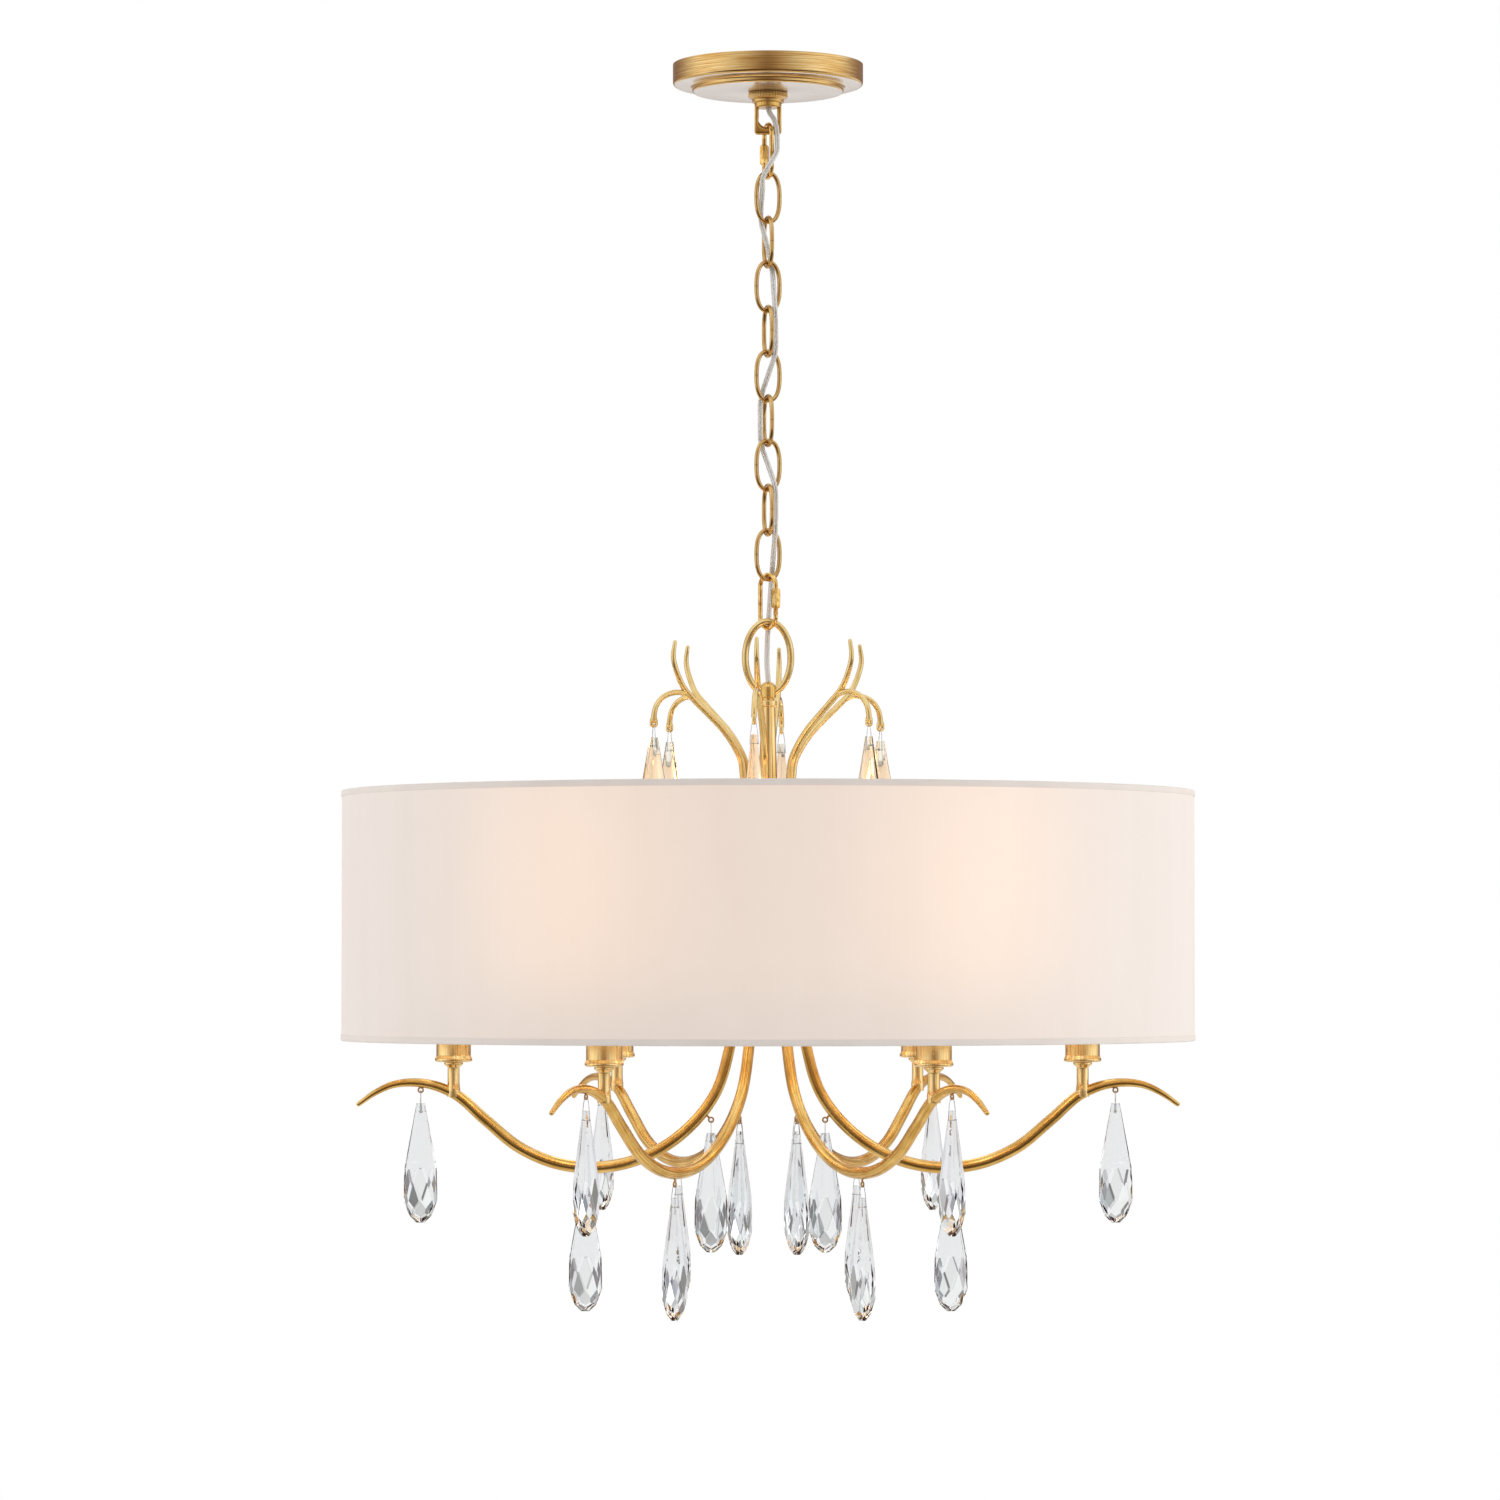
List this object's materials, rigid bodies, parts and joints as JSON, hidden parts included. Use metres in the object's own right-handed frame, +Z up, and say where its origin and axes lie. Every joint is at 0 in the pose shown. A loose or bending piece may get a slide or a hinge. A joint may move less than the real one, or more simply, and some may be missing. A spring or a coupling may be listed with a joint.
{
  "type": "chandelier",
  "caption": "Hanging chandelier: curved gilt arms with candle cups and faceted crystal drops under an open drum shade, on a chain with a round canopy.",
  "frame": {"origin": "on the ceiling, over the middle of the canopy's rim and on the chain's axis", "axes": "+Z up, -Y towards the viewer's side as pictured, +X to the viewer's right"},
  "size_m": [0.66, 0.66, 0.9673],
  "materials": {
    "gold_leaf": "brushed gold leaf on steel",
    "zinc_steel": "zinc plated",
    "shade_fabric": "pale woven fabric over a plastic backing",
    "clear_plastic": "clear insulation over tinned wire",
    "cut_crystal": "clear, faceted and polished"
  },
  "bodies": {
    "ceiling_mount": {"crossbar": "zinc_steel", "canopy_loop": "gold_leaf", "power_cord": "clear_plastic"},
    "canopy_cover": {"canopy": "gold_leaf", "canopy_collar": "gold_leaf"},
    "top_link": {"top_quick_link": "gold_leaf"},
    "top_link_nut": {"top_quick_link_nut": "gold_leaf"},
    "link_1": {"chain_link_1": "gold_leaf"},
    "link_2": {"chain_link_2": "gold_leaf"},
    "link_3": {"chain_link_3": "gold_leaf"},
    "link_4": {"chain_link_4": "gold_leaf"},
    "link_5": {"chain_link_5": "gold_leaf"},
    "link_6": {"chain_link_6": "gold_leaf"},
    "link_7": {"chain_link_7": "gold_leaf"},
    "link_8": {"chain_link_8": "gold_leaf"},
    "link_9": {"chain_link_9": "gold_leaf"},
    "bottom_link": {"bottom_quick_link": "gold_leaf"},
    "bottom_link_nut": {"bottom_quick_link_nut": "gold_leaf"},
    "fixture": {"hanging_loop": "gold_leaf", "stem": "gold_leaf", "stem_nut": "zinc_steel", "branch_hub": "gold_leaf", "shade_cover": "shade_fabric", "shade_frame": "zinc_steel", "arm_1": "gold_leaf", "arm_2": "gold_leaf", "arm_3": "gold_leaf", "arm_4": "gold_leaf", "arm_5": "gold_leaf", "arm_6": "gold_leaf", "candle_cup_1": "gold_leaf", "candle_cup_2": "gold_leaf", "candle_cup_3": "gold_leaf", "candle_cup_4": "gold_leaf", "candle_cup_5": "gold_leaf", "candle_cup_6": "gold_leaf"},
    "tip_crystal_1": {"tip_crystal_1": "cut_crystal"},
    "tip_crystal_2": {"tip_crystal_2": "cut_crystal"},
    "tip_crystal_3": {"tip_crystal_3": "cut_crystal"},
    "tip_crystal_4": {"tip_crystal_4": "cut_crystal"},
    "tip_crystal_5": {"tip_crystal_5": "cut_crystal"},
    "tip_crystal_6": {"tip_crystal_6": "cut_crystal"},
    "low_crystal_1": {"low_crystal_1": "cut_crystal"},
    "low_crystal_2": {"low_crystal_2": "cut_crystal"},
    "low_crystal_3": {"low_crystal_3": "cut_crystal"},
    "low_crystal_4": {"low_crystal_4": "cut_crystal"},
    "low_crystal_5": {"low_crystal_5": "cut_crystal"},
    "low_crystal_6": {"low_crystal_6": "cut_crystal"},
    "inner_crystal_1": {"inner_crystal_1": "cut_crystal"},
    "inner_crystal_2": {"inner_crystal_2": "cut_crystal"},
    "inner_crystal_3": {"inner_crystal_3": "cut_crystal"},
    "inner_crystal_4": {"inner_crystal_4": "cut_crystal"},
    "inner_crystal_5": {"inner_crystal_5": "cut_crystal"},
    "inner_crystal_6": {"inner_crystal_6": "cut_crystal"},
    "branch_crystal_1": {"branch_crystal_1": "cut_crystal"},
    "branch_crystal_2": {"branch_crystal_2": "cut_crystal"},
    "branch_crystal_3": {"branch_crystal_3": "cut_crystal"},
    "branch_crystal_4": {"branch_crystal_4": "cut_crystal"},
    "branch_crystal_5": {"branch_crystal_5": "cut_crystal"},
    "branch_crystal_6": {"branch_crystal_6": "cut_crystal"}
  },
  "joints": [
    {"name": "canopy_drop", "type": "slide", "parent": "ceiling_mount", "child": "canopy_cover", "axis": [0, 0, -1], "range_m": [0, 0.02]},
    {"name": "top_link_swing", "type": "hinge", "parent": "ceiling_mount", "child": "top_link", "pos_m": [0, 0, -0.0517], "axis": [1, 0, 0], "range_deg": [-10, 10], "deforming": ["power_cord"]},
    {"name": "link_1_swing", "type": "hinge", "parent": "top_link", "child": "link_1", "pos_m": [0, 0, -0.08815], "axis": [-0.3256, 0.9455, 0], "range_deg": [-10, 10], "deforming": ["power_cord"]},
    {"name": "link_2_swing", "type": "hinge", "parent": "link_1", "child": "link_2", "pos_m": [0, 0, -0.12275], "axis": [0.9455, 0.3256, 0], "range_deg": [-10, 10], "deforming": ["power_cord"]},
    {"name": "link_3_swing", "type": "hinge", "parent": "link_2", "child": "link_3", "pos_m": [0, 0, -0.15755], "axis": [-0.3256, 0.9455, 0], "range_deg": [-10, 10], "deforming": ["power_cord"]},
    {"name": "link_4_swing", "type": "hinge", "parent": "link_3", "child": "link_4", "pos_m": [0, 0, -0.19235], "axis": [0.9455, 0.3256, 0], "range_deg": [-10, 10], "deforming": ["power_cord"]},
    {"name": "link_5_swing", "type": "hinge", "parent": "link_4", "child": "link_5", "pos_m": [0, 0, -0.22715], "axis": [-0.3256, 0.9455, 0], "range_deg": [-10, 10], "deforming": ["power_cord"]},
    {"name": "link_6_swing", "type": "hinge", "parent": "link_5", "child": "link_6", "pos_m": [0, 0, -0.26195], "axis": [0.9455, 0.3256, 0], "range_deg": [-10, 10], "deforming": ["power_cord"]},
    {"name": "link_7_swing", "type": "hinge", "parent": "link_6", "child": "link_7", "pos_m": [0, 0, -0.29675], "axis": [-0.3256, 0.9455, 0], "range_deg": [-10, 10], "deforming": ["power_cord"]},
    {"name": "link_8_swing", "type": "hinge", "parent": "link_7", "child": "link_8", "pos_m": [0, 0, -0.33155], "axis": [0.9455, 0.3256, 0], "range_deg": [-10, 10], "deforming": ["power_cord"]},
    {"name": "link_9_swing", "type": "hinge", "parent": "link_8", "child": "link_9", "pos_m": [0, 0, -0.36635], "axis": [-0.3256, 0.9455, 0], "range_deg": [-10, 10], "deforming": ["power_cord"]},
    {"name": "bottom_link_swing", "type": "hinge", "parent": "link_9", "child": "bottom_link", "pos_m": [0, 0, -0.40115], "axis": [0.9455, 0.3256, 0], "range_deg": [-10, 10], "deforming": ["power_cord"]},
    {"name": "fixture_swing", "type": "hinge", "parent": "bottom_link", "child": "fixture", "pos_m": [0, 0, -0.43895], "axis": [0.682, -0.7314, 0], "range_deg": [-10, 10], "deforming": ["power_cord"]},
    {"name": "top_nut_slide", "type": "slide", "parent": "top_link", "child": "top_link_nut", "axis": [0, 0, 1], "range_m": [0, 0.0065]},
    {"name": "bottom_nut_slide", "type": "slide", "parent": "bottom_link", "child": "bottom_link_nut", "axis": [0, 0, -1], "range_m": [0, 0.0065]},
    {"name": "tip_crystal_1_swing", "type": "hinge", "parent": "fixture", "child": "tip_crystal_1", "pos_m": [0.26868, 0, -0.79718], "axis": [0, -1, 0], "range_deg": [-25, 25]},
    {"name": "tip_crystal_2_swing", "type": "hinge", "parent": "fixture", "child": "tip_crystal_2", "pos_m": [0.13434, 0.23268, -0.79718], "axis": [0.866, -0.5, 0], "range_deg": [-25, 25]},
    {"name": "tip_crystal_3_swing", "type": "hinge", "parent": "fixture", "child": "tip_crystal_3", "pos_m": [-0.13434, 0.23268, -0.79718], "axis": [0.866, 0.5, 0], "range_deg": [-25, 25]},
    {"name": "tip_crystal_4_swing", "type": "hinge", "parent": "fixture", "child": "tip_crystal_4", "pos_m": [-0.26868, 0, -0.79718], "axis": [0, 1, 0], "range_deg": [-25, 25]},
    {"name": "tip_crystal_5_swing", "type": "hinge", "parent": "fixture", "child": "tip_crystal_5", "pos_m": [-0.13434, -0.23268, -0.79718], "axis": [-0.866, 0.5, 0], "range_deg": [-25, 25]},
    {"name": "tip_crystal_6_swing", "type": "hinge", "parent": "fixture", "child": "tip_crystal_6", "pos_m": [0.13434, -0.23268, -0.79718], "axis": [-0.866, -0.5, 0], "range_deg": [-25, 25]},
    {"name": "low_crystal_1_swing", "type": "hinge", "parent": "fixture", "child": "low_crystal_1", "pos_m": [0.14118, 0, -0.86548], "axis": [0, -1, 0], "range_deg": [-25, 25]},
    {"name": "low_crystal_2_swing", "type": "hinge", "parent": "fixture", "child": "low_crystal_2", "pos_m": [0.07059, 0.12226, -0.86548], "axis": [0.866, -0.5, 0], "range_deg": [-25, 25]},
    {"name": "low_crystal_3_swing", "type": "hinge", "parent": "fixture", "child": "low_crystal_3", "pos_m": [-0.07059, 0.12226, -0.86548], "axis": [0.866, 0.5, 0], "range_deg": [-25, 25]},
    {"name": "low_crystal_4_swing", "type": "hinge", "parent": "fixture", "child": "low_crystal_4", "pos_m": [-0.14118, 0, -0.86548], "axis": [0, 1, 0], "range_deg": [-25, 25]},
    {"name": "low_crystal_5_swing", "type": "hinge", "parent": "fixture", "child": "low_crystal_5", "pos_m": [-0.07059, -0.12226, -0.86548], "axis": [-0.866, 0.5, 0], "range_deg": [-25, 25]},
    {"name": "low_crystal_6_swing", "type": "hinge", "parent": "fixture", "child": "low_crystal_6", "pos_m": [0.07059, -0.12226, -0.86548], "axis": [-0.866, -0.5, 0], "range_deg": [-25, 25]},
    {"name": "inner_crystal_1_swing", "type": "hinge", "parent": "fixture", "child": "inner_crystal_1", "pos_m": [0.04409, 0, -0.8202], "axis": [0, -1, 0], "range_deg": [-10, 20]},
    {"name": "inner_crystal_2_swing", "type": "hinge", "parent": "fixture", "child": "inner_crystal_2", "pos_m": [0.02204, 0.03818, -0.8202], "axis": [0.866, -0.5, 0], "range_deg": [-10, 20]},
    {"name": "inner_crystal_3_swing", "type": "hinge", "parent": "fixture", "child": "inner_crystal_3", "pos_m": [-0.02204, 0.03818, -0.8202], "axis": [0.866, 0.5, 0], "range_deg": [-10, 20]},
    {"name": "inner_crystal_4_swing", "type": "hinge", "parent": "fixture", "child": "inner_crystal_4", "pos_m": [-0.04409, 0, -0.8202], "axis": [0, 1, 0], "range_deg": [-10, 20]},
    {"name": "inner_crystal_5_swing", "type": "hinge", "parent": "fixture", "child": "inner_crystal_5", "pos_m": [-0.02204, -0.03818, -0.8202], "axis": [-0.866, 0.5, 0], "range_deg": [-10, 20]},
    {"name": "inner_crystal_6_swing", "type": "hinge", "parent": "fixture", "child": "inner_crystal_6", "pos_m": [0.02204, -0.03818, -0.8202], "axis": [-0.866, -0.5, 0], "range_deg": [-10, 20]},
    {"name": "branch_crystal_1_swing", "type": "hinge", "parent": "fixture", "child": "branch_crystal_1", "pos_m": [0.08795, 0.03824, -0.51541], "axis": [0.3987, -0.9171, 0], "range_deg": [-25, 25]},
    {"name": "branch_crystal_2_swing", "type": "hinge", "parent": "fixture", "child": "branch_crystal_2", "pos_m": [0.01086, 0.09528, -0.51541], "axis": [0.9936, -0.1132, 0], "range_deg": [-25, 25]},
    {"name": "branch_crystal_3_swing", "type": "hinge", "parent": "fixture", "child": "branch_crystal_3", "pos_m": [-0.07709, 0.05704, -0.51541], "axis": [0.5948, 0.8039, 0], "range_deg": [-25, 25]},
    {"name": "branch_crystal_4_swing", "type": "hinge", "parent": "fixture", "child": "branch_crystal_4", "pos_m": [-0.08795, -0.03824, -0.51541], "axis": [-0.3987, 0.9171, 0], "range_deg": [-25, 25]},
    {"name": "branch_crystal_5_swing", "type": "hinge", "parent": "fixture", "child": "branch_crystal_5", "pos_m": [-0.01086, -0.09528, -0.51541], "axis": [-0.9936, 0.1132, 0], "range_deg": [-25, 25]},
    {"name": "branch_crystal_6_swing", "type": "hinge", "parent": "fixture", "child": "branch_crystal_6", "pos_m": [0.07709, -0.05704, -0.51541], "axis": [-0.5948, -0.8039, 0], "range_deg": [-25, 25]}
  ]
}
